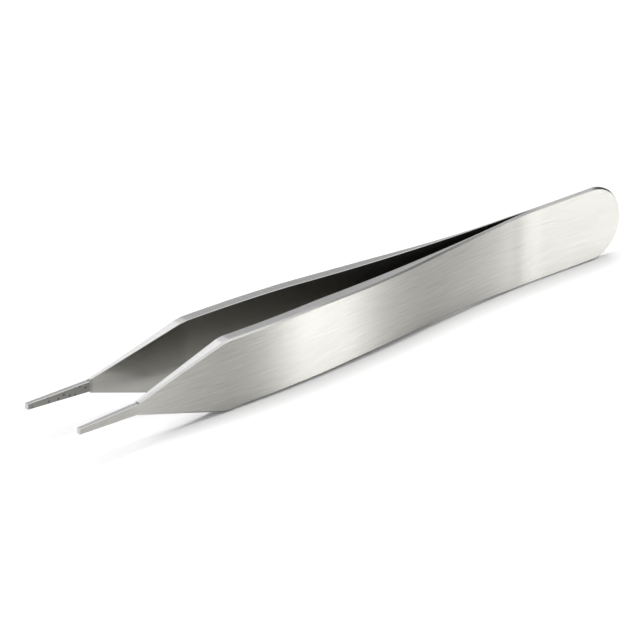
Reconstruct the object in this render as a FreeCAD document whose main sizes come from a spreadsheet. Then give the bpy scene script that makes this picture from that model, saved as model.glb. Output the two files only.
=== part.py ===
import FreeCAD, Part

import math
import os

import Sketcher

# Bending tweezers: two spring arms of stainless strip, mirror images of each other, lying face to
# face over the butt and held there by resistance welds. +X runs from the tips to the butt, +Z up.
# The pair lies on its lower long edges, and the origin is the middle of the bounding box, on the
# surface that it lies on. Millimetres and degrees.

SIZES = {
    # stretches of the arm, one after another from the tip to the butt
    "nose_length": 12.0,
    "taper_length": 17.8,
    "bow_length": 20.0,
    "spring_length": 53.2,
    "weld_length": 17.0,
    # straight ends of the spring, outside: at the grip's full thickness and at the thin neck
    "full_length": 5.0,
    "neck_length": 2.2,
    # gaps between the inner faces of the two arms
    "tip_gap": 11.5,
    "nose_root_gap": 10.6,
    "grip_gap": 7.05,
    # thickness of one arm
    "tip_thickness": 0.8,
    "nose_root_thickness": 0.9,
    "grip_thickness": 2.0,
    "rear_thickness": 0.45,
    # radii of the inner face, where it leaves the weld and where it bows in the grip
    "bend_radius": 90.0,
    "bow_radius": 226.0,
    # widths of the blank, seen from the side
    "tip_width": 1.0,
    "nose_root_width": 1.75,
    "nose_step": 0.25,
    "shoulder_width": 12.0,
    "shoulder_facet": 0.7,
    # the waist, and how far each edge is set in there and stands out at the rear
    "waist_from_shoulder": 40.2,
    "waist_inset": 0.3,
    "rear_flare": 0.32,
    "waist_radius": 600.0,
    "waist_blend_radius": 150.0,
}

SHEET = "Sizes"
STRETCHES = {
    "root": "nose_length",
    "shoulder": "taper_length",
    "bow": "bow_length",
    "weld": "spring_length",
    "butt": "weld_length",
}
ARMS = {"right_arm": -1.0, "left_arm": 1.0}

FIRST, LAST, CENTRE = 1, 2, 3
X_AXIS = -1
ORIGIN = (-1, 1)


def make_sheet(doc):
    """Write every driving size into one cell of the sheet, under its own name."""
    sheet = doc.addObject("Spreadsheet::Sheet", SHEET)
    for row, (alias, value) in enumerate(SIZES.items(), start=1):
        sheet.set("A%d" % row, alias)
        sheet.set("B%d" % row, str(value))
        sheet.setAlias("B%d" % row, alias)
    doc.recompute()
    return sheet


class Outline:
    """A closed outline of lines and arcs in one sketch, each piece starting where the last ended."""

    def __init__(self, sketch):
        self.sketch = sketch
        self.pieces = []
        self.at = None
        self.named = 0

    def begin(self, x, y):
        """Start a new outline at a point."""
        self.pieces = []
        self.drop((x, y))

    def drop(self, place):
        """Put the pen down at a point."""
        self.at = place

    def guide(self, x, y):
        """Draw a straight helping line to a point; it is no piece of the outline."""
        segment = Part.LineSegment(FreeCAD.Vector(*self.at, 0), FreeCAD.Vector(x, y, 0))
        self.at = (x, y)
        return (self.sketch.addGeometry(segment, True), FIRST, LAST)

    def line(self, x, y):
        """Draw a straight piece to a point and return it as (geometry, first end, last end)."""
        segment = Part.LineSegment(FreeCAD.Vector(*self.at, 0), FreeCAD.Vector(x, y, 0))
        piece = (self.sketch.addGeometry(segment, False), FIRST, LAST)
        self.pieces.append(piece)
        self.at = (x, y)
        return piece

    def arc(self, centre, x, y, turn):
        """Draw a round piece to a point; turn is 1 for anticlockwise and -1 for clockwise."""
        radius = math.dist(centre, (x, y))
        here = math.atan2(self.at[1] - centre[1], self.at[0] - centre[0])
        there = math.atan2(y - centre[1], x - centre[0])
        low, high = (here, there) if turn > 0 else (there, here)
        if high < low:
            high += 2.0 * math.pi
        circle = Part.Circle(FreeCAD.Vector(*centre, 0), FreeCAD.Vector(0, 0, 1), radius)
        geometry = self.sketch.addGeometry(Part.ArcOfCircle(circle, low, high), False)
        piece = (geometry, FIRST, LAST) if turn > 0 else (geometry, LAST, FIRST)
        self.pieces.append(piece)
        self.at = (x, y)
        return piece

    def link(self, smooth_after=()):
        """Join each piece to the next, tangent after the pieces listed and with a corner elsewhere."""
        count = len(self.pieces)
        for index in range(count):
            one = self.pieces[index]
            two = self.pieces[(index + 1) % count]
            kind = "Tangent" if one in smooth_after else "Coincident"
            self.sketch.addConstraint(Sketcher.Constraint(kind, one[0], one[2], two[0], two[1]))

    def point(self, end):
        """Coordinates of the point (geometry, position)."""
        if end == ORIGIN:
            return FreeCAD.Vector(0, 0, 0)
        return self.sketch.getPoint(*end)

    def bind(self, constraint, expression):
        """Add a constraint with a value and tie that value to the sheet."""
        index = self.sketch.addConstraint(constraint)
        self.named += 1
        name = "size_%d" % self.named
        self.sketch.renameConstraint(index, name)
        self.sketch.setExpression("Constraints." + name, expression)

    def along(self, one, two, expression):
        """Hold the distance of two points along the sketch's first axis."""
        low, high = sorted((one, two), key=lambda end: self.point(end).x)
        value = self.point(high).x - self.point(low).x
        self.bind(Sketcher.Constraint("DistanceX", *low, *high, value), expression)

    def across(self, one, two, expression):
        """Hold the distance of two points along the sketch's second axis."""
        low, high = sorted((one, two), key=lambda end: self.point(end).y)
        value = self.point(high).y - self.point(low).y
        self.bind(Sketcher.Constraint("DistanceY", *low, *high, value), expression)

    def radius(self, piece, expression):
        """Hold the radius of a round piece."""
        value = self.sketch.Geometry[piece[0]].Radius
        self.bind(Sketcher.Constraint("Radius", piece[0], value), expression)


def first(piece):
    """The point where a piece starts."""
    return (piece[0], piece[1])


def last(piece):
    """The point where a piece ends."""
    return (piece[0], piece[2])


def centre_of(piece):
    """The centre of a round piece."""
    return (piece[0], CENTRE)


def sized(alias):
    """The sheet's cell of that name, as an expression."""
    return "%s.%s" % (SHEET, alias)


def half_length():
    """Half of the overall length, as an expression."""
    return "(%s) / 2" % " + ".join(sized(stretch) for stretch in STRETCHES.values())


def half_rear():
    """Half of the width over the weld, as an expression."""
    return "(%s / 2 + %s)" % (sized("shoulder_width"), sized("rear_flare"))


def tangent_angle(radius, run, rise):
    """Angle of the line that leaves a circle's flank and passes through a point.

    The circle touches the axis at the origin, with its centre at (0, radius), and the point lies
    run away and rise up.
    """
    reach = math.hypot(run, rise - radius)
    return math.asin(radius / reach) - math.atan2(radius - rise, run)


def stations(size):
    """Places along the arm, from the tip to the butt, with the middle of its length at zero."""
    reached = -sum(size[stretch] for stretch in STRETCHES.values()) / 2.0
    at = {"tip": reached}
    for name, stretch in STRETCHES.items():
        reached += size[stretch]
        at[name] = reached
    return at


def plan_points(size, side):
    """Corner points and arc centres of an arm's plan outline.

    The inner face is flat over the weld, bends away from the other arm, runs straight along the
    spring and bows in the grip. The outer face keeps the rear thickness to the end of the neck,
    gains the grip's thickness by a hollow curve and a full one, keeps that to the shoulder, and
    leaves the bow in one smooth curve for the nose.
    """
    at = stations(size)
    bend, bow = size["bend_radius"], size["bow_radius"]
    rear, grip = size["rear_thickness"], size["grip_thickness"]
    spread = tangent_angle(bend, at["weld"] - at["bow"], size["grip_gap"] / 2.0)
    out = (math.sin(spread), math.cos(spread))

    def shifted(place, distance):
        """A place moved square to the spring, away from the other arm."""
        return (place[0] + distance * out[0], place[1] + distance * out[1])

    def down_spring(place, x):
        """The place at x on the line through a place along the spring."""
        return (x, place[1] - (x - place[0]) * math.tan(spread))

    bow_inner = (at["bow"], size["grip_gap"] / 2.0)
    bow_centre = shifted(bow_inner, -bow)
    bend_centre = (at["weld"], bend)
    bow_outer = shifted(bow_inner, grip)
    bend_outer = shifted(bend_centre, rear - bend)
    thick = down_spring(bow_outer, bow_outer[0] + size["full_length"])
    thin = down_spring(bend_outer, bend_outer[0] - size["neck_length"])
    sweep = math.dist(thick, thin) ** 2 / (4.0 * (grip - rear))

    def on_bow(radius):
        """Height of a circle round the bow's centre at the shoulder."""
        return bow_centre[1] + math.sqrt(radius ** 2 - (at["shoulder"] - bow_centre[0]) ** 2)

    shoulder = (at["shoulder"], on_bow(bow + grip))
    root = (at["root"], size["nose_root_gap"] / 2.0 + size["nose_root_thickness"])
    outward = [(s - c) / (bow + grip) for s, c in zip(shoulder, bow_centre)]
    rise = sum(o * (r - s) for o, r, s in zip(outward, root, shoulder))
    flare = math.dist(root, shoulder) ** 2 / (2.0 * rise)

    places = {
        "butt_inner": (at["butt"], 0.0),
        "weld_inner": (at["weld"], 0.0),
        "bend_centre": bend_centre,
        "spring_inner": shifted(bend_centre, -bend),
        "bow_inner": bow_inner,
        "bow_centre": bow_centre,
        "shoulder_inner": (at["shoulder"], on_bow(bow)),
        "root_inner": (at["root"], size["nose_root_gap"] / 2.0),
        "tip_inner": (at["tip"], size["tip_gap"] / 2.0),
        "tip_outer": (at["tip"], size["tip_gap"] / 2.0 + size["tip_thickness"]),
        "root_outer": root,
        "flare_centre": tuple(s + flare * o for s, o in zip(shoulder, outward)),
        "shoulder_outer": shoulder,
        "bow_outer": bow_outer,
        "thick": thick,
        "full_centre": shifted(thick, -sweep),
        "turning": ((thick[0] + thin[0]) / 2.0, (thick[1] + thin[1]) / 2.0),
        "hollow_centre": shifted(thin, sweep),
        "thin": thin,
        "bend_outer": bend_outer,
        "weld_outer": (at["weld"], rear),
        "butt_outer": (at["butt"], rear),
    }
    return {name: (x, side * y) for name, (x, y) in places.items()}


def draw_plan(sketch, size, side):
    """Draw an arm as seen from above, and bind it to the sheet."""
    at = plan_points(size, side)
    turn = 1 if side > 0 else -1
    pen = Outline(sketch)
    pen.begin(*at["butt_inner"])
    weld_inner = pen.line(*at["weld_inner"])
    bend_inner = pen.arc(at["bend_centre"], *at["spring_inner"], -turn)
    spring_inner = pen.line(*at["bow_inner"])
    bow_inner = pen.arc(at["bow_centre"], *at["shoulder_inner"], turn)
    taper_inner = pen.line(*at["root_inner"])
    nose_inner = pen.line(*at["tip_inner"])
    tip_face = pen.line(*at["tip_outer"])
    nose_outer = pen.line(*at["root_outer"])
    hollow_flare = side * (at["flare_centre"][1] - at["root_outer"][1]) > 0.0
    flare_turn = turn if hollow_flare else -turn
    taper_outer = pen.arc(at["flare_centre"], *at["shoulder_outer"], flare_turn)
    bow_outer = pen.arc(at["bow_centre"], *at["bow_outer"], -turn)
    full_outer = pen.line(*at["thick"])
    full_curve = pen.arc(at["full_centre"], *at["turning"], -turn)
    hollow_curve = pen.arc(at["hollow_centre"], *at["thin"], turn)
    neck_outer = pen.line(*at["bend_outer"])
    bend_outer = pen.arc(at["bend_centre"], *at["weld_outer"], turn)
    weld_outer = pen.line(*at["butt_outer"])
    butt_face = pen.line(*at["butt_inner"])
    pen.link(smooth_after=(weld_inner, bend_inner, spring_inner, taper_outer, bow_outer,
                           full_outer, full_curve, hollow_curve, neck_outer, bend_outer))

    sketch.addConstraint(Sketcher.Constraint("PointOnObject", *first(weld_inner), X_AXIS))
    for upright in (tip_face, butt_face):
        sketch.addConstraint(Sketcher.Constraint("Vertical", upright[0]))
    for level in (weld_inner, weld_outer):
        sketch.addConstraint(Sketcher.Constraint("Horizontal", level[0]))
    for inner, outer in ((taper_inner, taper_outer), (nose_inner, nose_outer)):
        sketch.addConstraint(Sketcher.Constraint("Vertical", *first(inner), *last(outer)))
    for inner, outer in ((bend_inner, bend_outer), (bow_inner, bow_outer)):
        shared = Sketcher.Constraint("Coincident", *centre_of(inner), *centre_of(outer))
        sketch.addConstraint(shared)
    for beside in (full_outer, neck_outer):
        sketch.addConstraint(Sketcher.Constraint("Parallel", spring_inner[0], beside[0]))
    sketch.addConstraint(Sketcher.Constraint("Equal", full_curve[0], hollow_curve[0]))

    pen.along(ORIGIN, first(weld_inner), half_length())
    pen.along(last(nose_inner), ORIGIN, half_length())
    pen.along(first(weld_inner), last(weld_inner), sized("weld_length"))
    pen.along(first(nose_inner), last(nose_inner), sized("nose_length"))
    pen.along(first(taper_inner), last(taper_inner), sized("taper_length"))
    pen.along(first(bow_inner), last(bow_inner), sized("bow_length"))
    pen.along(first(full_outer), last(full_outer), sized("full_length"))
    pen.along(first(neck_outer), last(neck_outer), sized("neck_length"))
    pen.across(ORIGIN, first(bow_inner), sized("grip_gap") + " / 2")
    pen.across(ORIGIN, first(nose_inner), sized("nose_root_gap") + " / 2")
    pen.across(ORIGIN, last(nose_inner), sized("tip_gap") + " / 2")
    pen.across(first(tip_face), last(tip_face), sized("tip_thickness"))
    pen.across(first(nose_inner), last(nose_outer), sized("nose_root_thickness"))
    pen.across(first(butt_face), last(butt_face), sized("rear_thickness"))
    pen.radius(bend_inner, sized("bend_radius"))
    pen.radius(bow_inner, sized("bow_radius"))
    pen.radius(bow_outer, sized("bow_radius") + " + " + sized("grip_thickness"))


def profile_points(size):
    """Corner points and arc centres of the blank's upper edge, from the tip to the butt."""
    at = stations(size)
    front = size["shoulder_width"] / 2.0
    rear = front + size["rear_flare"]
    waist = front - size["waist_inset"]
    hollow = size["waist_radius"]
    blend = size["waist_blend_radius"]
    share = hollow / (hollow + blend)
    middle = at["shoulder"] + size["waist_from_shoulder"]
    centre = (middle, waist + hollow)

    def blend_from(level, way):
        """Centre of the blend into that half width, on one side of the waist."""
        drop = centre[1] - (level - blend)
        return (middle + way * math.sqrt((hollow + blend) ** 2 - drop ** 2), level - blend)

    def meeting(other):
        """Where the hollow meets a blend."""
        return tuple(a + (b - a) * share for a, b in zip(centre, other))

    facet = size["shoulder_facet"]
    fall = math.atan2(front - size["nose_root_width"] / 2.0 - size["nose_step"],
                      size["taper_length"])
    front_centre = blend_from(front, -1.0)
    rear_centre = blend_from(rear, 1.0)
    return {
        "tip": (at["tip"], size["tip_width"] / 2.0),
        "root": (at["root"], size["nose_root_width"] / 2.0),
        "step": (at["root"], size["nose_root_width"] / 2.0 + size["nose_step"]),
        "facet": (at["shoulder"] - facet * math.cos(fall), front - facet * math.sin(fall)),
        "shoulder": (at["shoulder"], front),
        "shoulder_end": (at["shoulder"] + facet, front),
        "front_blend": (front_centre[0], front),
        "front_centre": front_centre,
        "hollow_start": meeting(front_centre),
        "hollow_centre": centre,
        "hollow_end": meeting(rear_centre),
        "rear_blend": (rear_centre[0], rear),
        "rear_centre": rear_centre,
        "butt": (at["butt"] - rear, rear),
        "butt_centre": (at["butt"] - rear, 0.0),
    }


def draw_profile(sketch, size):
    """Draw the blank as seen from the side, inside a frame that is cut away around it.

    The frame stands a nose's length clear of the blank all round.
    """
    at = profile_points(size)
    low = {name: (x, -y) for name, (x, y) in at.items()}
    pen = Outline(sketch)

    pen.begin(*low["tip"])
    tip = pen.line(*at["tip"])
    nose = pen.line(*at["root"])
    step = pen.line(*at["step"])
    taper = pen.line(*at["facet"])
    facet = pen.line(*at["shoulder_end"])
    grip = pen.line(*at["front_blend"])
    front_blend = pen.arc(at["front_centre"], *at["hollow_start"], -1)
    hollow = pen.arc(at["hollow_centre"], *at["hollow_end"], 1)
    rear_blend = pen.arc(at["rear_centre"], *at["rear_blend"], -1)
    rear = pen.line(*at["butt"])
    upper = (nose, step, taper, facet, grip, front_blend, hollow, rear_blend, rear)
    butt = pen.arc(at["butt_centre"], *low["butt"], -1)
    lower = (
        pen.line(*low["rear_blend"]),
        pen.arc(low["rear_centre"], *low["hollow_end"], -1),
        pen.arc(low["hollow_centre"], *low["hollow_start"], 1),
        pen.arc(low["front_centre"], *low["front_blend"], -1),
        pen.line(*low["shoulder_end"]),
        pen.line(*low["facet"]),
        pen.line(*low["step"]),
        pen.line(*low["root"]),
        pen.line(*low["tip"]),
    )
    pen.link(smooth_after=(grip, front_blend, hollow, rear_blend, rear, butt, *lower[:3]))
    for above, below in zip(upper, reversed(lower)):
        mirrored = Sketcher.Constraint("Symmetric", *first(above), *last(below), X_AXIS)
        sketch.addConstraint(mirrored)
    sketch.addConstraint(Sketcher.Constraint("Vertical", step[0]))
    for level in (grip, rear, lower[0]):
        sketch.addConstraint(Sketcher.Constraint("Horizontal", level[0]))
    sketch.addConstraint(Sketcher.Constraint("Equal", front_blend[0], rear_blend[0]))

    pen.drop(at["facet"])
    before = pen.guide(*at["shoulder"])
    after = pen.guide(*at["shoulder_end"])
    corner = last(before)
    for one, two in ((first(before), last(taper)), (first(after), corner),
                     (last(after), last(facet))):
        sketch.addConstraint(Sketcher.Constraint("Coincident", *one, *two))
    for edge in (taper, grip):
        sketch.addConstraint(Sketcher.Constraint("PointOnObject", *corner, edge[0]))
    sketch.addConstraint(Sketcher.Constraint("Equal", before[0], after[0]))

    pen.along(first(tip), ORIGIN, half_length())
    pen.along(first(nose), last(nose), sized("nose_length"))
    pen.along(last(nose), corner, sized("taper_length"))
    pen.along(corner, last(facet), sized("shoulder_facet"))
    pen.along(corner, centre_of(hollow), sized("waist_from_shoulder"))
    pen.along(ORIGIN, centre_of(butt), "%s - %s" % (half_length(), half_rear()))
    pen.across(first(tip), last(tip), sized("tip_width"))
    pen.across(ORIGIN, last(nose), sized("nose_root_width") + " / 2")
    pen.across(first(step), last(step), sized("nose_step"))
    pen.across(ORIGIN, corner, sized("shoulder_width") + " / 2")
    pen.across(ORIGIN, last(rear), half_rear())
    pen.across(ORIGIN, centre_of(hollow), "%s / 2 - %s + %s" % (
        sized("shoulder_width"), sized("waist_inset"), sized("waist_radius")))
    pen.radius(hollow, sized("waist_radius"))
    pen.radius(front_blend, sized("waist_blend_radius"))

    reach = stations(size)["butt"] + size["nose_length"]
    height = at["rear_blend"][1] + size["nose_length"]
    pen.begin(-reach, -height)
    pen.line(reach, -height)
    pen.line(reach, height)
    pen.line(-reach, height)
    pen.line(-reach, -height)
    pen.link()
    for index, piece in enumerate(pen.pieces):
        kind = "Horizontal" if index % 2 == 0 else "Vertical"
        sketch.addConstraint(Sketcher.Constraint(kind, piece[0]))
    low_corner, opposite = first(pen.pieces[0]), first(pen.pieces[2])
    sketch.addConstraint(Sketcher.Constraint("Symmetric", *low_corner, *opposite, *ORIGIN))
    pen.along(ORIGIN, opposite, "%s + %s" % (half_length(), sized("nose_length")))
    pen.across(ORIGIN, opposite, "%s + %s" % (half_rear(), sized("nose_length")))


def plane(body, role):
    """One of a body's own origin planes."""
    return next(part for part in body.Origin.OriginFeatures if part.Role == role)


def new_sketch(body, name, role):
    """An empty sketch on one of the body's origin planes."""
    sketch = body.newObject("Sketcher::SketchObject", name)
    sketch.AttachmentSupport = [(plane(body, role), "")]
    sketch.MapMode = "FlatFace"
    return sketch


def build_arm(doc, size, name, side):
    """One arm: its plan outline raised to the blank's height and trimmed to the side profile."""
    body = doc.addObject("PartDesign::Body", name)
    body.Label = name

    plan = new_sketch(body, name + "_plan", "XY_Plane")
    draw_plan(plan, size, side)
    strip = body.newObject("PartDesign::Pad", name + "_strip")
    strip.Profile = plan
    strip.SideType = "Symmetric"
    strip.setExpression("Length", "2 * " + half_rear())
    doc.recompute()
    full = strip.Shape.Volume

    profile = new_sketch(body, name + "_profile", "XZ_Plane")
    draw_profile(profile, size)
    trim = body.newObject("PartDesign::Pocket", name + "_trim")
    trim.Profile = profile
    trim.Type = "ThroughAll"
    trim.SideType = "Symmetric"
    doc.recompute()
    if not 0.3 * full < trim.Shape.Volume < 0.98 * full:
        raise RuntimeError("the side trim of %s took nothing or too much" % name)

    body.Tip = trim
    return body


def resting_place(size):
    """Placement that sets the pair on its two high spots, the shoulders and the wide rear."""
    at = profile_points(size)
    shoulder, rear = at["shoulder"], at["rear_blend"]
    lean = math.atan2(rear[1] - shoulder[1], rear[0] - shoulder[0])
    height = rear[1] * math.cos(lean) - rear[0] * math.sin(lean)
    turn = FreeCAD.Rotation(FreeCAD.Vector(0, 1, 0), -math.degrees(lean))
    return FreeCAD.Placement(FreeCAD.Vector(0, 0, height), turn)


def check(doc, bodies):
    """Stop if any object failed or any arm isn't one whole solid."""
    for item in doc.Objects:
        if "Invalid" in item.State or "Error" in item.State:
            raise RuntimeError("%s: %s" % (item.Name, item.State))
    for body in bodies:
        if body.Shape.isNull() or not body.Shape.isValid() or len(body.Shape.Solids) != 1:
            raise RuntimeError("%s is not one valid solid" % body.Label)


def main():
    """Build both arms and write each one's solid."""
    doc = FreeCAD.newDocument("bending_tweezers")
    sheet = make_sheet(doc)
    size = {alias: float(sheet.get(alias)) for alias in SIZES}
    bodies = [build_arm(doc, size, name, side) for name, side in ARMS.items()]
    for body in bodies:
        body.Placement = resting_place(size)
    doc.recompute()
    check(doc, bodies)
    os.makedirs("parts", exist_ok=True)
    for body in bodies:
        box = body.Shape.optimalBoundingBox()
        print("%s: %.3f mm3, x %.3f to %.3f, y %.3f to %.3f, z %.3f to %.3f" % (
            body.Label, body.Shape.Volume, box.XMin, box.XMax, box.YMin, box.YMax,
            box.ZMin, box.ZMax))
        body.Shape.exportStep("parts/%s.step" % body.Label)


main()
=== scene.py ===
"""Bending tweezers: two ground and brushed spring arms, lying on their long edges on a pale floor."""

import logging
import math
from dataclasses import dataclass, field
from enum import Enum
from typing import ClassVar, Iterable, Sequence

import bmesh
import bpy
from mathutils import Matrix, Vector

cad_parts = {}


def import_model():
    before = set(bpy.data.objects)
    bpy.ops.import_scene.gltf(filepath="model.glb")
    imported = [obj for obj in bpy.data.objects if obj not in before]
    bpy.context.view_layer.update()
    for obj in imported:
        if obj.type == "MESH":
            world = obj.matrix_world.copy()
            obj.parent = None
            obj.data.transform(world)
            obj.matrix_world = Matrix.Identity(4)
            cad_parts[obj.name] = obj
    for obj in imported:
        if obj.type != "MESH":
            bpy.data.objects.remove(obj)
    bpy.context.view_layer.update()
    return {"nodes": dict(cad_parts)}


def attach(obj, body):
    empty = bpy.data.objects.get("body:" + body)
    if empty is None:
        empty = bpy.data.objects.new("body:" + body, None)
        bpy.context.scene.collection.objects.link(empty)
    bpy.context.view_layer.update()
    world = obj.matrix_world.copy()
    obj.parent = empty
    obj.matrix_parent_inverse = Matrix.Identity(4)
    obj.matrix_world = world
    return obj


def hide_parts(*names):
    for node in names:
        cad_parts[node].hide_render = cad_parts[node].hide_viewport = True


LOG = logging.getLogger("bending_tweezers")

MM = 0.001
BODY = "root"
GRAIN_MAP = "grain"
RIM_MARK = "rim_face"
INNER_MARK = "inner_face"
EDGE_MARK = "edge_face"
DEPTH_MARK = "depth"
DROP_MARK = "edge_drop"
WHITE = (1.0, 1.0, 1.0, 1.0)


class Side(Enum):
    """The arm's side of the gap, with its sign along +Y."""

    RIGHT = -1.0
    LEFT = 1.0

    @property
    def node(self) -> str:
        """Name of the arm's solid in the frame."""
        return "right_arm" if self is Side.RIGHT else "left_arm"


class Crease(Enum):
    """How much of the section's ring is a sharp corner along the arm."""

    NONE = "none"
    RIM = "rim"
    RING = "ring"


class Facing(Enum):
    """Where a point of the blank's section lies."""

    OUTER = 1.0
    INNER = 0.0


@dataclass(frozen=True)
class ArmSizes:
    """Sizes of one arm, in millimetres, with the tip at the low end of X."""

    nose_length: float = 12.0
    taper_length: float = 17.8
    bow_length: float = 20.0
    spring_length: float = 53.2
    weld_length: float = 17.0
    full_length: float = 5.0
    neck_length: float = 2.2
    tip_gap: float = 11.5
    nose_root_gap: float = 10.6
    grip_gap: float = 7.05
    tip_thickness: float = 0.8
    nose_root_thickness: float = 0.9
    grip_thickness: float = 2.0
    rear_thickness: float = 0.45
    bend_radius: float = 90.0
    bow_radius: float = 226.0
    tip_width: float = 1.0
    nose_root_width: float = 1.75
    nose_step: float = 0.25
    shoulder_width: float = 12.0
    shoulder_facet: float = 0.7
    waist_from_shoulder: float = 40.2
    waist_inset: float = 0.3
    rear_flare: float = 0.32
    waist_radius: float = 600.0
    waist_blend_radius: float = 150.0

    @property
    def length(self) -> float:
        """Overall length."""
        return (self.nose_length + self.taper_length + self.bow_length
                + self.spring_length + self.weld_length)

    @property
    def root_x(self) -> float:
        """Where the nose meets the taper."""
        return self.nose_length - self.length / 2.0

    @property
    def shoulder_x(self) -> float:
        """Where the taper meets the grip."""
        return self.root_x + self.taper_length

    @property
    def rear_half_width(self) -> float:
        """Half of the blank's width over the weld."""
        return self.shoulder_width / 2.0 + self.rear_flare


@dataclass(frozen=True)
class EdgeBreaks:
    """How far the long edges are broken, in millimetres.

    The outer edge that the pair lies on is broken further in the grip: from the shoulder the break
    grows to its lower size over a short run, and it shrinks again on the way to the weld.
    """

    nose: float = 0.08
    outer: float = 0.28
    inner: float = 0.07
    lower: float = 0.5
    lower_run: float = 2.5


def put_in_scene(name: str, data: bpy.types.ID) -> bpy.types.Object:
    """Put a mesh, lamp or camera into the scene.

    Args:
        name: name of the new object.
        data: what it shows.

    Returns:
        The object, at the origin.
    """
    thing = bpy.data.objects.new(name, data)
    bpy.context.scene.collection.objects.link(thing)
    return thing


@dataclass(frozen=True)
class Station:
    """One place on the blank's upper edge, with the direction square to it, into the blank."""

    x: float
    z: float
    inward: tuple[float, float]
    crease: Crease = Crease.NONE


class Formula:
    """A value that Geometry Nodes work out at every point of a mesh, written as plain arithmetic."""

    def __init__(self, tree: bpy.types.NodeTree, socket: bpy.types.NodeSocket) -> None:
        """Wrap one output socket.

        Args:
            tree: the node tree that the value lives in.
            socket: the output that carries it.
        """
        self.tree = tree
        self.socket = socket

    def math(self, operation: str, *others: "Formula | float") -> "Formula":
        """Put this value and up to two others through one Math node.

        Args:
            operation: the Math node's operation.
            others: the further inputs.

        Returns:
            The node's result.
        """
        node = self.tree.nodes.new("ShaderNodeMath")
        node.operation = operation
        for place, value in enumerate((self, *others)):
            if isinstance(value, Formula):
                self.tree.links.new(value.socket, node.inputs[place])
            else:
                node.inputs[place].default_value = value
        return Formula(self.tree, node.outputs[0])

    def __add__(self, other: "Formula | float") -> "Formula":
        """Sum."""
        return self.math("ADD", other)

    def __sub__(self, other: "Formula | float") -> "Formula":
        """Difference."""
        return self.math("SUBTRACT", other)

    def __mul__(self, other: "Formula | float") -> "Formula":
        """Product."""
        return self.math("MULTIPLY", other)

    def __truediv__(self, other: "Formula | float") -> "Formula":
        """Quotient."""
        return self.math("DIVIDE", other)

    def root(self) -> "Formula":
        """Square root."""
        return self.math("SQRT")

    def below(self, bound: "Formula | float") -> "Formula":
        """1 where this value is less than the bound, and 0 elsewhere."""
        return self.math("LESS_THAN", bound)

    def pick(self, yes: "Formula", no: "Formula") -> "Formula":
        """Choose by this value, 1 or 0."""
        return self * (yes - no) + no


@dataclass(frozen=True)
class Pair:
    """A place or direction in the plan view, as two formulas."""

    x: Formula
    y: Formula

    def moved(self, way: "Pair", distance: Formula | float) -> "Pair":
        """The place that lies some distance away in a direction."""
        return Pair(self.x + way.x * distance, self.y + way.y * distance)

    def to(self, other: "Pair") -> "Pair":
        """The step from this place to another."""
        return Pair(other.x - self.x, other.y - self.y)

    def dot(self, other: "Pair") -> Formula:
        """Product of two steps, as of vectors."""
        return self.x * other.x + self.y * other.y

    def between(self, other: "Pair") -> "Pair":
        """The place halfway to another."""
        return Pair((self.x + other.x) * 0.5, (self.y + other.y) * 0.5)


class Marks:
    """What the blank's mesh carries at its points, faces and corners, for the forming and the finish."""

    def __init__(self, mesh: bmesh.types.BMesh) -> None:
        """Add the marks to a mesh.

        Args:
            mesh: the blank's mesh, still empty.
        """
        self.depth = mesh.verts.layers.float.new(DEPTH_MARK)
        self.drop = mesh.verts.layers.float.new(DROP_MARK)
        self.rim = mesh.faces.layers.float.new(RIM_MARK)
        self.inner = mesh.faces.layers.float.new(INNER_MARK)
        self.edge = mesh.faces.layers.float.new(EDGE_MARK)
        self.grain = mesh.loops.layers.uv.new(GRAIN_MAP)


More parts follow.
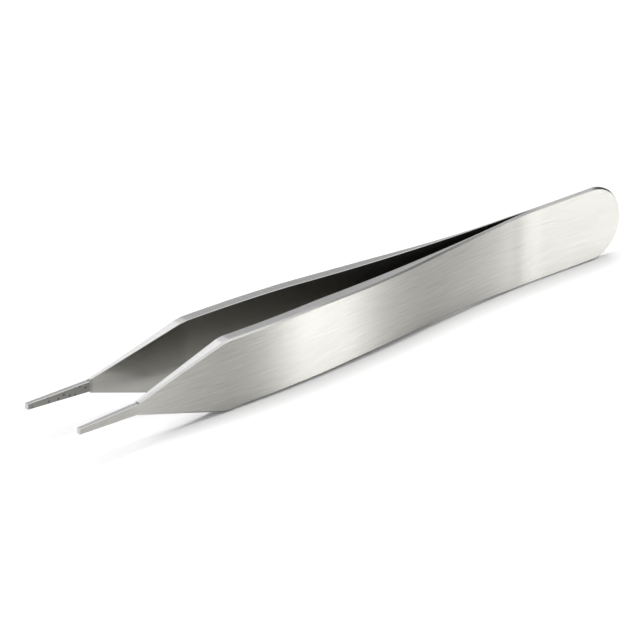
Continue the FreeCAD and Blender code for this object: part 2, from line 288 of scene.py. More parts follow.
class Blank:
    """The strip as stamped: the arm's side outline, flat, with marks for the faces and the rim."""

    FACE_SHARES = (-0.5, 0.0, 0.5)
    # shares of a broken edge: how far in from the outline, and how far below the face
    BROKEN_EDGE = ((1.0, 0.0), (0.0, 1.0))
    STEP_RUN = 0.04
    SPACING = 0.5
    BUTT_STEPS = 40
    # metres within which two points are one
    WELD_DISTANCE = 1e-7

    def __init__(self, sizes: ArmSizes, breaks: EdgeBreaks) -> None:
        """Keep the sizes.

        Args:
            sizes: sizes of the arm.
            breaks: how far its edges are broken.
        """
        self.sizes = sizes
        self.breaks = breaks

    def half_width(self, x: float) -> float:
        """Half of the blank's width at a place between the shoulder and the butt's round end.

        Args:
            x: place along the arm, in millimetres.

        Returns:
            The half width, in millimetres.
        """
        s = self.sizes
        front = s.shoulder_width / 2.0
        middle = s.shoulder_x + s.waist_from_shoulder
        centre = front - s.waist_inset + s.waist_radius
        reach = s.waist_radius + s.waist_blend_radius
        level = front if x < middle else s.rear_half_width
        blend = level - s.waist_blend_radius
        run = math.sqrt(reach ** 2 - (centre - blend) ** 2)
        away = abs(x - middle)
        if away > run:
            return level
        if away < run * s.waist_radius / reach:
            return centre - math.sqrt(s.waist_radius ** 2 - away ** 2)
        return blend + math.sqrt(s.waist_blend_radius ** 2 - (run - away) ** 2)

    def stations(self) -> list[Station]:
        """Places on the upper edge from the tip to the end of the butt.

        Returns:
            The stations, in order.
        """
        s = self.sizes
        square = (0.0, -1.0)
        tip_x, root_x, shoulder_x = -s.length / 2.0, s.root_x, s.shoulder_x
        taper_foot = s.nose_root_width / 2.0 + s.nose_step
        front = s.shoulder_width / 2.0
        fall = math.atan2(front - taper_foot, s.taper_length)
        taper_in = (math.sin(fall), -math.cos(fall))
        facet_in = (math.sin(fall / 2.0), -math.cos(fall / 2.0))
        facet_start = (shoulder_x - s.shoulder_facet * math.cos(fall),
                       front - s.shoulder_facet * math.sin(fall))

        made = [Station(tip_x, s.tip_width / 2.0, square, Crease.RING)]
        made += self._straight(made[-1], Station(root_x - self.STEP_RUN, s.nose_root_width / 2.0, square,
                                                 Crease.RING))
        made.append(Station(root_x, taper_foot, square, Crease.RING))
        made += self._straight(made[-1], Station(*facet_start, taper_in, Crease.RIM))
        share = (shoulder_x - facet_start[0]) / (shoulder_x + s.shoulder_facet - facet_start[0])
        facet_middle = facet_start[1] + (front - facet_start[1]) * share
        made.append(Station(shoulder_x, facet_middle, facet_in))
        made.append(Station(shoulder_x + s.shoulder_facet, front, square, Crease.RIM))

        butt_centre = s.length / 2.0 - s.rear_half_width
        run = butt_centre - made[-1].x
        count = round(run / self.SPACING)
        for index in range(1, count):
            x = made[-1].x + (butt_centre - made[-1].x) / (count + 1 - index)
            made.append(Station(x, self.half_width(x), square))
        for index in range(self.BUTT_STEPS + 1):
            turn = math.pi / 2.0 * (1.0 - index / self.BUTT_STEPS)
            way = (math.cos(turn), math.sin(turn))
            made.append(Station(butt_centre + s.rear_half_width * way[0], s.rear_half_width * way[1],
                                (-way[0], -way[1])))
        return made

    def _straight(self, start: Station, end: Station) -> list[Station]:
        """Evenly spaced stations on the straight line between two.

        Args:
            start: the station that the line leaves, which is not made again.
            end: the station that the line reaches.

        Returns:
            The stations after the start, up to and with the end.
        """
        count = max(2, round((end.x - start.x) / (2.0 * self.SPACING)))
        along = math.hypot(end.x - start.x, end.z - start.z)
        way = ((end.x - start.x) / along, (end.z - start.z) / along)
        made = []
        for index in range(1, count):
            share = index / count
            made.append(Station(start.x + (end.x - start.x) * share, start.z + (end.z - start.z) * share,
                                (way[1], -way[0])))
        return made + [end]

    def lower_break(self, x: float) -> float:
        """How far the outer edge that the pair lies on is broken: furthest where the arm is thick.

        Args:
            x: place along the arm, in millimetres.

        Returns:
            The size of the broken edge, in millimetres.
        """
        s = self.sizes
        bow_x = s.shoulder_x + s.bow_length
        weld_x = bow_x + s.spring_length
        gained = min(max((x - s.shoulder_x) / self.breaks.lower_run, 0.0), 1.0)
        lost = min(max((x - bow_x) / (weld_x - bow_x), 0.0), 1.0)
        return self.breaks.outer + (self.breaks.lower - self.breaks.outer) * (gained - lost)

    def ring(self, station: Station) -> list[tuple[float, float, Facing, float]]:
        """Points round the blank's section at one station.

        Args:
            station: where the section is taken.

        Returns:
            For each point its x and z, the face that it belongs to and its drop below that face.
        """
        on_nose = station.x < self.sizes.root_x - self.STEP_RUN / 2.0
        outer = self.breaks.nose if on_nose else self.breaks.outer
        inner = self.breaks.nose if on_nose else self.breaks.inner
        lower = self.breaks.nose if on_nose else self.lower_break(station.x)

        def corner(size: float, facing: Facing, up: float) -> list[tuple[float, float, Facing, float]]:
            """Points of one broken edge, from the face to the rim."""
            return [(station.x + size * inset * station.inward[0],
                     up * (station.z + size * inset * station.inward[1]), facing, size * drop)
                    for inset, drop in self.BROKEN_EDGE]

        upper_outer = corner(outer, Facing.OUTER, 1.0)
        upper_inner = corner(inner, Facing.INNER, 1.0)
        outer_face = [(upper_outer[0][0], share * upper_outer[0][1], Facing.OUTER, 0.0)
                      for share in self.FACE_SHARES]
        inner_face = [(upper_inner[0][0], -share * upper_inner[0][1], Facing.INNER, 0.0)
                      for share in self.FACE_SHARES]
        return (outer_face + upper_outer + upper_inner[::-1] + inner_face
                + corner(inner, Facing.INNER, -1.0) + corner(lower, Facing.OUTER, -1.0)[::-1])

    def build(self, name: str) -> bpy.types.Object:
        """Stamp the blank.

        Args:
            name: name of the new object.

        Returns:
            The object, with its sizes in metres and its depth in the marks.
        """
        stations = self.stations()
        mesh = bmesh.new()
        marks = Marks(mesh)
        rows = self._rows(mesh, marks, stations)
        self._skin(mesh, marks, rows)
        self._sharpen(mesh, marks, rows, stations)
        for face in mesh.faces:
            for loop in face.loops:
                place = loop.vert.co
                loop[marks.grain].uv = (place.x, place.z if face[marks.rim] == 0.0 else place.y)
        bmesh.ops.remove_doubles(mesh, verts=mesh.verts, dist=self.WELD_DISTANCE)
        bmesh.ops.recalc_face_normals(mesh, faces=mesh.faces)
        data = bpy.data.meshes.new(name)
        mesh.to_mesh(data)
        mesh.free()
        return put_in_scene(name, data)

    def _rows(self, mesh: bmesh.types.BMesh, marks: Marks,
              stations: list[Station]) -> list[list[bmesh.types.BMVert]]:
        """Set the points of every section.

        Args:
            mesh: the blank's mesh.
            marks: its marks.
            stations: where the sections are.

        Returns:
            One row of points for each station.
        """
        rows = []
        for station in stations:
            row = []
            for x, z, facing, dropped in self.ring(station):
                flat_y = facing.value * self.sizes.grip_thickness + (1.0 - 2.0 * facing.value) * dropped
                vert = mesh.verts.new((x * MM, flat_y * MM, z * MM))
                vert[marks.depth] = facing.value
                vert[marks.drop] = dropped * MM
                row.append(vert)
            rows.append(row)
        return rows

    def _skin(self, mesh: bmesh.types.BMesh, marks: Marks, rows: list[list[bmesh.types.BMVert]]) -> None:
        """Join the rows with faces, close the tip and mark what each face is.

        Args:
            mesh: the blank's mesh.
            marks: its marks.
            rows: the points of every section.
        """
        faces, corners_per_edge = len(self.FACE_SHARES), len(self.BROKEN_EDGE)
        upper_rim = faces + corners_per_edge - 1
        lower_rim = 2 * faces + 3 * corners_per_edge - 1
        inner_face = range(faces + 2 * corners_per_edge - 1, 2 * faces + 2 * corners_per_edge)
        for near, far in zip(rows, rows[1:]):
            count = len(near)
            for index in range(count):
                after = (index + 1) % count
                face = mesh.faces.new((near[index], far[index], far[after], near[after]))
                face.smooth = True
                on_rim = index in (upper_rim, lower_rim)
                on_inner = index in inner_face
                on_outer = index < faces or index == count - 1
                face[marks.rim] = float(on_rim)
                face[marks.inner] = float(on_inner)
                face[marks.edge] = float(not (on_rim or on_inner or on_outer))
        tip = mesh.faces.new(rows[0][::-1])
        tip[marks.rim] = 1.0

    def _sharpen(self, mesh: bmesh.types.BMesh, marks: Marks, rows: list[list[bmesh.types.BMVert]],
                 stations: list[Station]) -> None:
        """Make the lines along the broken edges and across the creased stations sharp.

        Args:
            mesh: the blank's mesh.
            marks: its marks.
            rows: the points of every section.
            stations: where the sections are.
        """
        faces, corners_per_edge = len(self.FACE_SHARES), len(self.BROKEN_EDGE)
        upper_corners = range(faces, faces + 2 * corners_per_edge)
        lower_corners = 2 * faces + 2 * corners_per_edge
        for near, far in zip(rows, rows[1:]):
            for index, pair in enumerate(zip(near, far)):
                if index in upper_corners or index >= lower_corners:
                    mesh.edges.get(pair).smooth = False
        for row, station in zip(rows, stations):
            for index, vert in enumerate(row):
                after = row[(index + 1) % len(row)]
                on_face = (vert[marks.drop] == 0.0 and after[marks.drop] == 0.0
                           and vert[marks.depth] == after[marks.depth])
                if station.crease is Crease.RING or station.crease is Crease.RIM and not on_face:
                    mesh.edges.get((vert, after)).smooth = False


class Forming:
    """The grinding and bending of the blank, as one Geometry Nodes tree with its sizes as inputs."""

    LENGTHS = ("nose_length", "taper_length", "bow_length", "spring_length", "weld_length",
               "full_length", "neck_length", "tip_gap", "nose_root_gap", "grip_gap",
               "tip_thickness", "nose_root_thickness", "grip_thickness", "rear_thickness",
               "bend_radius", "bow_radius")

    def __init__(self) -> None:
        """Build the tree."""
        self.tree = bpy.data.node_groups.new("arm_forming", "GeometryNodeTree")
        self.tree.is_modifier = True
        self.sockets: dict[str, str] = {}
        self._declare("Geometry", "NodeSocketGeometry", "INPUT")
        self._declare("Geometry", "NodeSocketGeometry", "OUTPUT")
        for name in (*self.LENGTHS, "side", "lean", "lift"):
            self._declare(name, "NodeSocketFloat", "INPUT")
        for name in ("outer_finish", "inner_finish", "rim_finish", "edge_finish"):
            self._declare(name, "NodeSocketMaterial", "INPUT")
        self.entry = self.tree.nodes.new("NodeGroupInput")
        self._lay_out()

    def _declare(self, name: str, kind: str, way: str) -> None:
        """Add one socket to the tree and keep its identifier.

        Args:
            name: the socket's name.
            kind: the socket's type.
            way: INPUT or OUTPUT.
        """
        item = self.tree.interface.new_socket(name=name, in_out=way, socket_type=kind)
        if way == "INPUT":
            self.sockets[name] = item.identifier

    def _input(self, name: str) -> Formula:
        """The value of one of the tree's inputs."""
        return Formula(self.tree, self.entry.outputs[name])

    def _mark(self, name: str) -> Formula:
        """The value of one of the blank's marks.

        Args:
            name: the mark's name.

        Returns:
            The value, at each point or face.
        """
        node = self.tree.nodes.new("GeometryNodeInputNamedAttribute")
        node.data_type = "FLOAT"
        node.inputs["Name"].default_value = name
        return Formula(self.tree, node.outputs["Attribute"])

    def _line(self, x: Formula, one: Pair, two: Pair) -> Formula:
        """Height at x of the line through two places."""
        return one.y + (x - one.x) * (two.y - one.y) / (two.x - one.x)

    def _slope(self, x: Formula, place: Pair, way: Pair) -> Formula:
        """Height at x of the line through a place, square to a direction."""
        return place.y - (x - place.x) * way.x / way.y

    def _arc(self, x: Formula, centre: Pair, radius: Formula, crest: float) -> Formula:
        """Height at x of a circle, on its upper half for a crest of 1 and on its lower for -1."""
        away = x - centre.x
        return centre.y + (radius * radius - away * away).root() * crest

    def _plan(self, x: Formula) -> tuple[Formula, Formula]:
        """Heights of the inner and the outer face above the plane between the arms.

        Args:
            x: place along the arm.

        Returns:
            The inner and the outer height.
        """
        size = {name: self._input(name) for name in self.LENGTHS}
        total = size["nose_length"]
        for name in ("taper_length", "bow_length", "spring_length", "weld_length"):
            total = total + size[name]
        tip_x = total * -0.5
        root_x = tip_x + size["nose_length"]
        shoulder_x = root_x + size["taper_length"]
        bow_x = shoulder_x + size["bow_length"]
        weld_x = bow_x + size["spring_length"]
        bend, bow = size["bend_radius"], size["bow_radius"]
        rear, grip = size["rear_thickness"], size["grip_thickness"]
        half_gap = size["grip_gap"] * 0.5

        run, rise = weld_x - bow_x, bend - half_gap
        reach = (run * run + rise * rise).root()
        spread = (bend / reach).math("ARCSINE") - rise.math("ARCTAN2", run)
        out = Pair(spread.math("SINE"), spread.math("COSINE"))

        zero = run * 0.0
        bow_inner = Pair(bow_x, half_gap)
        bow_centre = bow_inner.moved(out, bow * -1.0)
        bend_centre = Pair(weld_x, bend)
        spring_inner = bend_centre.moved(out, bend * -1.0)
        shoulder_inner = Pair(shoulder_x, self._arc(shoulder_x, bow_centre, bow, 1.0))
        root_inner = Pair(root_x, size["nose_root_gap"] * 0.5)
        tip_inner = Pair(tip_x, size["tip_gap"] * 0.5)
        inner = self._arc(x, bend_centre, bend, -1.0)
        inner = x.below(spring_inner.x).pick(self._slope(x, bow_inner, out), inner)
        inner = x.below(bow_x).pick(self._arc(x, bow_centre, bow, 1.0), inner)
        inner = x.below(shoulder_x).pick(self._line(x, root_inner, shoulder_inner), inner)
        inner = x.below(root_x).pick(self._line(x, tip_inner, root_inner), inner)
        inner = x.below(weld_x).pick(inner, zero)

        full = bow + grip
        bow_outer = bow_inner.moved(out, grip)
        bend_outer = bend_centre.moved(out, rear - bend)
        thick_x = bow_outer.x + size["full_length"]
        thin_x = bend_outer.x - size["neck_length"]
        thick = Pair(thick_x, self._slope(thick_x, bow_outer, out))
        thin = Pair(thin_x, self._slope(thin_x, bend_outer, out))
        span = thick.to(thin)
        sweep = span.dot(span) / ((grip - rear) * 4.0)
        turning = thick.between(thin)
        shoulder = Pair(shoulder_x, self._arc(shoulder_x, bow_centre, full, 1.0))
        root = Pair(root_x, root_inner.y + size["nose_root_thickness"])
        tip = Pair(tip_x, tip_inner.y + size["tip_thickness"])
        from_centre = bow_centre.to(shoulder)
        outward = Pair(from_centre.x / full, from_centre.y / full)
        drift = shoulder.to(root)
        flare = drift.dot(drift) / (outward.dot(drift) * 2.0)
        outer = self._arc(x, bend_centre, bend - rear, -1.0)
        outer = x.below(bend_outer.x).pick(self._slope(x, bend_outer, out), outer)
        outer = x.below(thin_x).pick(self._arc(x, thin.moved(out, sweep), sweep, -1.0), outer)
        outer = x.below(turning.x).pick(self._arc(x, thick.moved(out, sweep * -1.0), sweep, 1.0), outer)
        outer = x.below(thick_x).pick(self._slope(x, bow_outer, out), outer)
        outer = x.below(bow_outer.x).pick(self._arc(x, bow_centre, full, 1.0), outer)
        outer = x.below(shoulder_x).pick(self._arc(x, shoulder.moved(outward, flare), flare, -1.0), outer)
        outer = x.below(root_x).pick(self._line(x, tip, root), outer)
        outer = x.below(weld_x).pick(outer, rear)
        return inner, outer

    def _lay_out(self) -> None:
        """Connect the nodes from the blank to the finished arm."""
        tree = self.tree
        position = tree.nodes.new("GeometryNodeInputPosition")
        apart = tree.nodes.new("ShaderNodeSeparateXYZ")
        tree.links.new(position.outputs[0], apart.inputs[0])
        x = Formula(tree, apart.outputs["X"])
        z = Formula(tree, apart.outputs["Z"])
        inner, outer = self._plan(x)
        depth, drop = self._mark(DEPTH_MARK), self._mark(DROP_MARK)
        side = self._input("side")
        height = inner + (outer - inner) * depth + (depth * -2.0 + 1.0) * drop
        lean = self._input("lean")
        level, up = lean.math("COSINE"), lean.math("SINE")

        together = tree.nodes.new("ShaderNodeCombineXYZ")
        placed = (x * level - z * up, height * side, x * up + z * level + self._input("lift"))
        for value, socket in zip(placed, together.inputs):
            tree.links.new(value.socket, socket)
        bent = tree.nodes.new("GeometryNodeSetPosition")
        tree.links.new(self.entry.outputs["Geometry"], bent.inputs["Geometry"])
        tree.links.new(together.outputs[0], bent.inputs["Position"])
        flipped = tree.nodes.new("GeometryNodeFlipFaces")
        tree.links.new(bent.outputs[0], flipped.inputs[0])
        tree.links.new(side.below(0.0).socket, flipped.inputs[1])
        realized = tree.nodes.new("GeometryNodeRealizeInstances")
        tree.links.new(flipped.outputs[0], realized.inputs[0])
        finished = realized.outputs[0]
        for name, mark in (("outer_finish", None), ("inner_finish", INNER_MARK), ("rim_finish", RIM_MARK),
                           ("edge_finish", EDGE_MARK)):
            finish = tree.nodes.new("GeometryNodeSetMaterial")
            tree.links.new(finished, finish.inputs["Geometry"])
            tree.links.new(self.entry.outputs[name], finish.inputs["Material"])
            if mark:
                tree.links.new(self._mark(mark).socket, finish.inputs["Selection"])
            finished = finish.outputs[0]
        leave = tree.nodes.new("NodeGroupOutput")
        tree.links.new(finished, leave.inputs["Geometry"])

    def form(self, blank: bpy.types.Object, values: dict[str, object]) -> bpy.types.Mesh:
        """Grind and bend a blank.

        Args:
            blank: the stamped blank.
            values: a value for each of the tree's inputs.

        Returns:
            The finished arm's mesh.
        """
        modifier = blank.modifiers.new("forming", "NODES")
        modifier.node_group = self.tree
        for name, value in values.items():
            modifier[self.sockets[name]] = value
        graph = bpy.context.evaluated_depsgraph_get()
        made = bpy.data.meshes.new_from_object(blank.evaluated_get(graph), depsgraph=graph)
        blank.modifiers.remove(modifier)
        return made


class NodeBench:
    """Short ways to add and join nodes in one shader tree."""

    def __init__(self, tree: bpy.types.NodeTree) -> None:
        """Keep the tree.

        Args:
            tree: the tree to work on.
        """
        self.tree = tree

    def add(self, kind: str, **settings: object) -> bpy.types.Node:
        """Add a node.

        Args:
            kind: the node's type.
            settings: its properties.

        Returns:
            The node.
        """
        node = self.tree.nodes.new(kind)
        for name, value in settings.items():
            setattr(node, name, value)
        return node

    def feed(self, socket: bpy.types.NodeSocket, value: object) -> None:
        """Link an output to an input, or set the input to a plain value.

        Args:
            socket: the input.
            value: an output or a plain value.
        """
        if isinstance(value, bpy.types.NodeSocket):
            self.tree.links.new(value, socket)
        else:
            socket.default_value = value

    def math(self, operation: str, *values: object) -> bpy.types.NodeSocket:
        """Put some values through one Math node.

        Args:
            operation: the Math node's operation.
            values: outputs or plain values, in the order of its inputs.

        Returns:
            The node's result.
        """
        node = self.add("ShaderNodeMath", operation=operation)
        for place, value in enumerate(values):
            self.feed(node.inputs[place], value)
        return node.outputs[0]

    def noise(self, vector: bpy.types.NodeSocket, scale: Sequence[float], detail: float,
              roughness: float) -> bpy.types.NodeSocket:
        """Noise on stretched coordinates.

        Args:
            vector: the coordinates.
            scale: features per metre along each axis.
            detail: how many finer layers are added.
            roughness: how strong they are.

        Returns:
            The noise, about 0.5 on average.
        """
        stretched = self.add("ShaderNodeMapping", vector_type="POINT")
        self.feed(stretched.inputs["Vector"], vector)
        self.feed(stretched.inputs["Scale"], tuple(scale))
        node = self.add("ShaderNodeTexNoise", noise_dimensions="3D")
        self.feed(node.inputs["Vector"], stretched.outputs[0])
        self.feed(node.inputs["Scale"], 1.0)
        self.feed(node.inputs["Detail"], detail)
        self.feed(node.inputs["Roughness"], roughness)
        return node.outputs["Fac"]

    def remap(self, value: bpy.types.NodeSocket, low: float, high: float, to_low: object,
              to_high: object) -> bpy.types.NodeSocket:
        """Stretch a range of values over another range, clamped.

        Args:
            value: what is stretched.
            low: value that becomes to_low.
            high: value that becomes to_high.
            to_low: an output or a plain value.
            to_high: an output or a plain value.

        Returns:
            The stretched value.
        """
        node = self.add("ShaderNodeMapRange", clamp=True)
        for name, given in (("Value", value), ("From Min", low), ("From Max", high),
                            ("To Min", to_low), ("To Max", to_high)):
            self.feed(node.inputs[name], given)
        return node.outputs[0]

    def shade(self, colour: object, factor: bpy.types.NodeSocket) -> bpy.types.NodeSocket:
        """Make a colour lighter or darker.

        Args:
            colour: an output or a plain value.
            factor: what the colour is multiplied by.

        Returns:
            The new colour.
        """
        node = self.add("ShaderNodeVectorMath", operation="SCALE")
        self.feed(node.inputs[0], colour)
        self.feed(node.inputs["Scale"], factor)
        return node.outputs[0]


@dataclass(frozen=True)
class Layer:
    """One layer of the grain: features per metre along and across it, finer layers and their strength."""

    along: float
    across: float
    detail: float
    strength: float = 0.55

    def lay(self, bench: NodeBench, place: bpy.types.NodeSocket) -> bpy.types.NodeSocket:
        """The layer's value, which is 0 on average, from the place along and across the grain."""
        noise = bench.noise(place, (self.along, self.across, 1.0), self.detail, self.strength)
        return bench.math("SUBTRACT", noise, 0.5)


class Grain:
    """The brushed grain, as a shader node group that every finish of the steel shares."""

    FINE = Layer(420.0, 9000.0, 3.0, 0.75)
    BROAD = Layer(150.0, 3400.0, 2.0)
    CLOUDS = Layer(60.0, 160.0, 2.0)
    FINE_SHARE = 0.6
    POLISH = -0.05

    def __init__(self) -> None:
        """Build the group."""
        self.group = bpy.data.node_groups.new("brushed_grain", "ShaderNodeTree")
        for name, kind in (("Along", "NodeSocketFloat"), ("Across", "NodeSocketFloat"),
                           ("Streaks", "NodeSocketFloat"), ("Clouding", "NodeSocketFloat"),
                           ("Roughness", "NodeSocketFloat"), ("Color", "NodeSocketColor")):
            self.group.interface.new_socket(name=name, in_out="INPUT", socket_type=kind)
        for name, kind in (("Color", "NodeSocketColor"), ("Roughness", "NodeSocketFloat"),
                           ("Height", "NodeSocketFloat")):
            self.group.interface.new_socket(name=name, in_out="OUTPUT", socket_type=kind)
        bench = NodeBench(self.group)
        entry = bench.add("NodeGroupInput")
        leave = bench.add("NodeGroupOutput")
        place = bench.add("ShaderNodeCombineXYZ")
        bench.feed(place.inputs["X"], entry.outputs["Along"])
        bench.feed(place.inputs["Y"], entry.outputs["Across"])

        lines = bench.math("MULTIPLY_ADD", self.FINE.lay(bench, place.outputs[0]), self.FINE_SHARE,
                           self.BROAD.lay(bench, place.outputs[0]))
        tone = bench.math("MULTIPLY_ADD", lines, entry.outputs["Streaks"], 1.0)
        drift = bench.math("MULTIPLY_ADD", self.CLOUDS.lay(bench, place.outputs[0]),
                           entry.outputs["Clouding"], tone)
        bench.feed(leave.inputs["Color"], bench.shade(entry.outputs["Color"], drift))
        bench.feed(leave.inputs["Roughness"],
                   bench.math("MULTIPLY_ADD", lines, self.POLISH, entry.outputs["Roughness"]))
        bench.feed(leave.inputs["Height"], lines)


@dataclass(frozen=True)
class SteelFinish:
    """One finish of the stainless steel, with its relief in millimetres."""

    PITS_PER_METRE: ClassVar[float] = 750.0
    PIT_RIM: ClassVar[tuple[float, float]] = (0.1, 0.2)
    PIT_SHADE: ClassVar[float] = 0.45
    ROOT_BLEND: ClassVar[tuple[float, float]] = (-0.4, 0.6)

    name: str
    colour: tuple[float, float, float]
    roughness: float
    anisotropy: float
    streaks: float
    clouding: float
    relief: float
    crosswise: bool = False
    nose_shade: float = 1.0

    def make(self, grain: Grain) -> bpy.types.Material:
        """Build the material.

        Args:
            grain: the shared grain.

        Returns:
            The material.
        """
        material = bpy.data.materials.new(self.name)
        material.use_nodes = True
        bench = NodeBench(material.node_tree)
        shader = material.node_tree.nodes["Principled BSDF"]
        chart = bench.add("ShaderNodeUVMap", uv_map=GRAIN_MAP)
        apart = bench.add("ShaderNodeSeparateXYZ")
        bench.feed(apart.inputs[0], chart.outputs[0])
        group = bench.add("ShaderNodeGroup", node_tree=grain.group)
        along, across = ("Y", "X") if self.crosswise else ("X", "Y")
        bench.feed(group.inputs["Along"], apart.outputs[along])
        bench.feed(group.inputs["Across"], apart.outputs[across])
        bench.feed(group.inputs["Streaks"], self.streaks)
        bench.feed(group.inputs["Clouding"], self.clouding)
        bench.feed(group.inputs["Roughness"], self.roughness)
        bench.feed(group.inputs["Color"], (*self.colour, 1.0))
        bump = bench.add("ShaderNodeBump")
        bench.feed(bump.inputs["Height"], group.outputs["Height"])
        bench.feed(bump.inputs["Distance"], self.relief * MM)
        bench.feed(bump.inputs["Strength"], 1.0)
        tangent = bench.add("ShaderNodeTangent", direction_type="UV_MAP", uv_map=GRAIN_MAP)
        colour = group.outputs["Color"]
        if self.nose_shade < 1.0:
            colour = bench.shade(colour, self._nose_factor(bench, chart.outputs[0], apart.outputs["X"]))
        bench.feed(shader.inputs["Base Color"], colour)
        bench.feed(shader.inputs["Roughness"], group.outputs["Roughness"])
        bench.feed(shader.inputs["Normal"], bump.outputs["Normal"])
        bench.feed(shader.inputs["Tangent"], tangent.outputs[0])
        shader.inputs["Metallic"].default_value = 1.0
        shader.inputs["Anisotropic"].default_value = self.anisotropy
        shader.inputs["Anisotropic Rotation"].default_value = 0.0 if self.crosswise else 0.25
        return material

    def _nose_factor(self, bench: NodeBench, place: bpy.types.NodeSocket,
                     along: bpy.types.NodeSocket) -> bpy.types.NodeSocket:
        """How bright the finish stays over the nose, which is dull and has small pits.

        Args:
            bench: the material's tree.
            place: place on the face.
            along: place along the arm.

        Returns:
            A factor for the colour, which is 1 behind the nose.
        """
        ahead, behind_root = (ArmSizes().root_x * MM + step * MM for step in self.ROOT_BLEND)
        behind = bench.remap(along, ahead, behind_root, 0.0, 1.0)
        cells = bench.add("ShaderNodeTexVoronoi", voronoi_dimensions="2D", feature="F1")
        bench.feed(cells.inputs["Vector"], place)
        bench.feed(cells.inputs["Scale"], self.PITS_PER_METRE)
        pitted = bench.remap(cells.outputs["Distance"], *self.PIT_RIM, self.PIT_SHADE, 1.0)
        dull = bench.math("MULTIPLY", pitted, self.nose_shade)
        return bench.remap(behind, 0.0, 1.0, dull, 1.0)


OUTER_FINISH = SteelFinish("brushed_steel", colour=(0.338, 0.333, 0.314), roughness=0.25,
                           anisotropy=1.0, streaks=0.36, clouding=0.14, relief=0.0007)
INNER_FINISH = SteelFinish("rolled_steel", colour=(0.39, 0.385, 0.364), roughness=0.18,
                           anisotropy=0.5, streaks=0.12, clouding=0.08, relief=0.0008, nose_shade=0.55)
RIM_FINISH = SteelFinish("ground_rim", colour=(0.56, 0.556, 0.555), roughness=0.3,
                         anisotropy=0.4, streaks=0.4, clouding=0.14, relief=0.001, crosswise=True)
EDGE_FINISH = SteelFinish("broken_edge", colour=(0.45, 0.447, 0.44), roughness=0.25,
                          anisotropy=0.0, streaks=0.08, clouding=0.05, relief=0.0004)


@dataclass
class Arm:
    """One arm of the tweezers."""

    side: Side
    forming: Forming
    finishes: dict[str, bpy.types.Material]
    sizes: ArmSizes = field(default_factory=ArmSizes)
    breaks: EdgeBreaks = field(default_factory=EdgeBreaks)
    normal_weight: int = 100

    @property
    def lean(self) -> float:
        """The turn that lays the shoulder and the wide rear on the floor.

        Returns:
            The angle, in radians.
        """
        s = self.sizes
        middle = s.shoulder_x + s.waist_from_shoulder
        reach = s.waist_radius + s.waist_blend_radius
        rise = s.waist_inset + s.rear_flare
        rear_x = middle + math.sqrt(reach ** 2 - (reach - rise) ** 2)
        return math.atan2(s.rear_flare, rear_x - s.shoulder_x)

    @property
    def lift(self) -> float:
        """Height of the blank's middle line above the floor where X is zero, in millimetres."""
        s = self.sizes
        return s.shoulder_width / 2.0 * math.cos(self.lean) - s.shoulder_x * math.sin(self.lean)

    def build(self) -> bpy.types.Object:
        """Stamp, grind and bend the arm.

        Returns:
            The arm's object.
        """
        name = self.side.node + "_steel"
        blank = Blank(self.sizes, self.breaks).build(name + "_blank")
        values: dict[str, object] = {key: getattr(self.sizes, key) * MM for key in Forming.LENGTHS}
        values.update(side=self.side.value, lean=self.lean, lift=self.lift * MM, **self.finishes)
        data = self.forming.form(blank, values)
        bpy.data.objects.remove(blank)
        data.name = name
        arm = put_in_scene(name, data)
        weighted = arm.modifiers.new("even_normals", "WEIGHTED_NORMAL")
        weighted.keep_sharp = True
        weighted.weight = self.normal_weight
        return arm

    def dress(self, arm: bpy.types.Object) -> None:
        """Put the arm in its place in the frame.

        Args:
            arm: the finished arm.
        """
        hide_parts(self.side.node)
        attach(arm, BODY)


@dataclass
class Softbox:
    """One soft lamp, aimed at the tweezers, with angles in degrees and lengths in metres."""

    name: str
    azimuth: float
    elevation: float
    distance: float
    width: float
    height: float
    radiance: float
    roll: float = 0.0
    gloss_only: bool = False

    def build(self) -> bpy.types.Object:
        """Hang the lamp.

        Returns:
            The lamp's object.
        """
        data = bpy.data.lights.new(self.name, "AREA")
        data.shape = "RECTANGLE"
        data.size = self.width
        data.size_y = self.height
        data.energy = self.radiance * math.pi * self.width * self.height
        lamp = put_in_scene(self.name, data)
        away = direction(self.azimuth, self.elevation)
        lamp.location = away * self.distance
        turned = Matrix.Rotation(math.radians(self.roll), 3, "Z")
        lamp.rotation_euler = (away.to_track_quat("Z", "Y").to_matrix() @ turned).to_euler()
        lamp.visible_camera = False
        lamp.visible_diffuse = not self.gloss_only
        return lamp


def direction(azimuth: float, elevation: float) -> Vector:
    """The direction from the object to a viewer or lamp.

    Args:
        azimuth: degrees round the object from -Y towards +X.
        elevation: degrees above the floor.

    Returns:
        A vector of length one.
    """
    turn, rise = math.radians(azimuth), math.radians(elevation)
    return Vector((math.sin(turn) * math.cos(rise), -math.cos(turn) * math.cos(rise), math.sin(rise)))


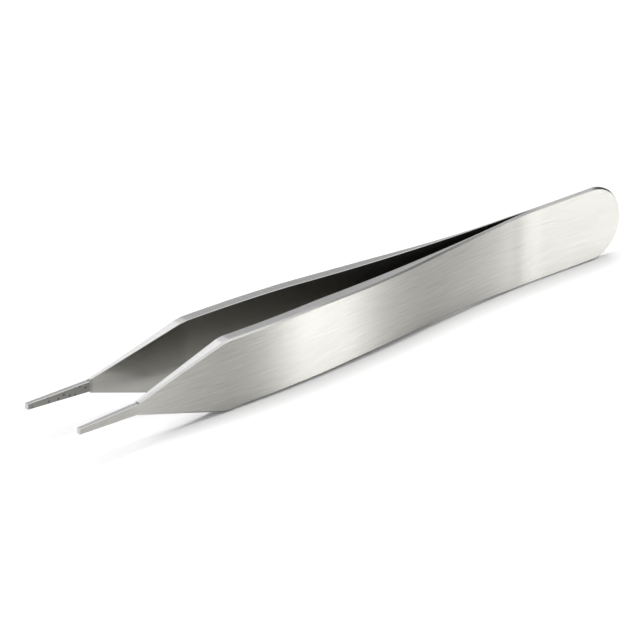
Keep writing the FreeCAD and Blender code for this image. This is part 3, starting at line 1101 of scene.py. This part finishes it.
@dataclass
class Studio:
    """Floor, light and camera, with the lens, its sensor and the place it aims at in millimetres."""

    floor_colour: tuple[float, float, float] = (0.93, 0.93, 0.93)
    floor_glow: float = 0.06
    floor_size: float = 8.0
    sky_front: float = 0.05
    sky_back: float = 0.42
    sky_top: float = 0.15
    wall_blend: tuple[float, float] = (-0.3, 0.5)
    top_blend: tuple[float, float] = (0.6, 0.85)
    camera_azimuth: float = -42.04
    camera_elevation: float = 23.23
    camera_distance: float = 0.9431
    camera_target: tuple[float, float, float] = (-3.32, 2.52, 5.0)
    focal_length: float = 337.5
    sensor_width: float = 36.0
    near_limit: float = 0.01
    softboxes: tuple[Softbox, ...] = (
        Softbox("front_strip_near", azimuth=43.1, elevation=12.0, distance=0.9, width=0.083, height=0.3,
                radiance=26.5, roll=-11.0, gloss_only=True),
        Softbox("front_strip_far", azimuth=46.85, elevation=12.0, distance=2.2, width=0.16, height=0.74,
                radiance=33.0, roll=-13.0, gloss_only=True),
        Softbox("overhead", azimuth=180.0, elevation=86.0, distance=1.0, width=1.4, height=0.62,
                radiance=4.05),
        Softbox("front_upper", azimuth=32.0, elevation=47.0, distance=1.5, width=1.3, height=0.6,
                radiance=1.65),
        Softbox("back_panel", azimuth=150.0, elevation=47.0, distance=0.9, width=0.7, height=0.35,
                radiance=1.5),
    )

    def lay_floor(self) -> None:
        """Lay a plain pale floor that keeps the object's shadow."""
        half = self.floor_size / 2.0
        data = bpy.data.meshes.new("floor")
        data.from_pydata([(-half, -half, 0), (half, -half, 0), (half, half, 0), (-half, half, 0)],
                         [], [(0, 1, 2, 3)])
        floor = put_in_scene("floor", data)
        material = bpy.data.materials.new("pale_floor")
        material.use_nodes = True
        bench = NodeBench(material.node_tree)
        shader = material.node_tree.nodes["Principled BSDF"]
        shader.inputs["Base Color"].default_value = (*self.floor_colour, 1.0)
        shader.inputs["Roughness"].default_value = 1.0
        shader.inputs["Specular IOR Level"].default_value = 0.0
        shader.inputs["Emission Color"].default_value = WHITE
        rays = bench.add("ShaderNodeLightPath")
        seen = bench.math("MAXIMUM", rays.outputs["Is Camera Ray"],
                          bench.math("MAXIMUM", rays.outputs["Is Glossy Ray"],
                                     rays.outputs["Is Transmission Ray"]))
        bench.feed(shader.inputs["Emission Strength"], bench.math("MULTIPLY", seen, self.floor_glow))
        data.materials.append(material)

    def light(self) -> None:
        """Set the sky's gradient and hang the softboxes."""
        world = bpy.data.worlds.new("studio")
        world.use_nodes = True
        bench = NodeBench(world.node_tree)
        backdrop = world.node_tree.nodes["Background"]
        backdrop.inputs["Color"].default_value = WHITE
        place = bench.add("ShaderNodeTexCoord")
        apart = bench.add("ShaderNodeSeparateXYZ")
        bench.feed(apart.inputs[0], place.outputs["Generated"])
        wall = bench.remap(apart.outputs["Y"], *self.wall_blend, self.sky_front, self.sky_back)
        bench.feed(backdrop.inputs["Strength"],
                   bench.remap(apart.outputs["Z"], *self.top_blend, wall, self.sky_top))
        bpy.context.scene.world = world
        for softbox in self.softboxes:
            softbox.build()

    def aim_camera(self) -> None:
        """Set the camera at the photograph's viewing angle."""
        data = bpy.data.cameras.new("camera")
        data.sensor_width = self.sensor_width
        data.lens = self.focal_length
        data.clip_start = self.near_limit
        camera = put_in_scene("camera", data)
        away = direction(self.camera_azimuth, self.camera_elevation)
        camera.location = Vector(self.camera_target) * MM + away * self.camera_distance
        camera.rotation_euler = away.to_track_quat("Z", "Y").to_euler()
        bpy.context.scene.camera = camera

    def build(self) -> None:
        """Set up the whole studio."""
        self.lay_floor()
        self.light()
        self.aim_camera()
        bpy.context.scene.view_settings.view_transform = "Standard"


def main() -> None:
    """Build both arms round the frame and set up the studio."""
    logging.basicConfig(level=logging.INFO, format="%(name)s: %(message)s")
    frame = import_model()
    LOG.info("frame with nodes %s", ", ".join(sorted(frame["nodes"])))
    grain = Grain()
    finishes = {"outer_finish": OUTER_FINISH.make(grain), "inner_finish": INNER_FINISH.make(grain),
                "rim_finish": RIM_FINISH.make(grain), "edge_finish": EDGE_FINISH.make(grain)}
    forming = Forming()
    for side in Side:
        arm = Arm(side, forming, finishes)
        piece = arm.build()
        arm.dress(piece)
        LOG.info("%s: %d faces", piece.name, len(piece.data.polygons))
    Studio().build()


if __name__ == "__main__":
    main()
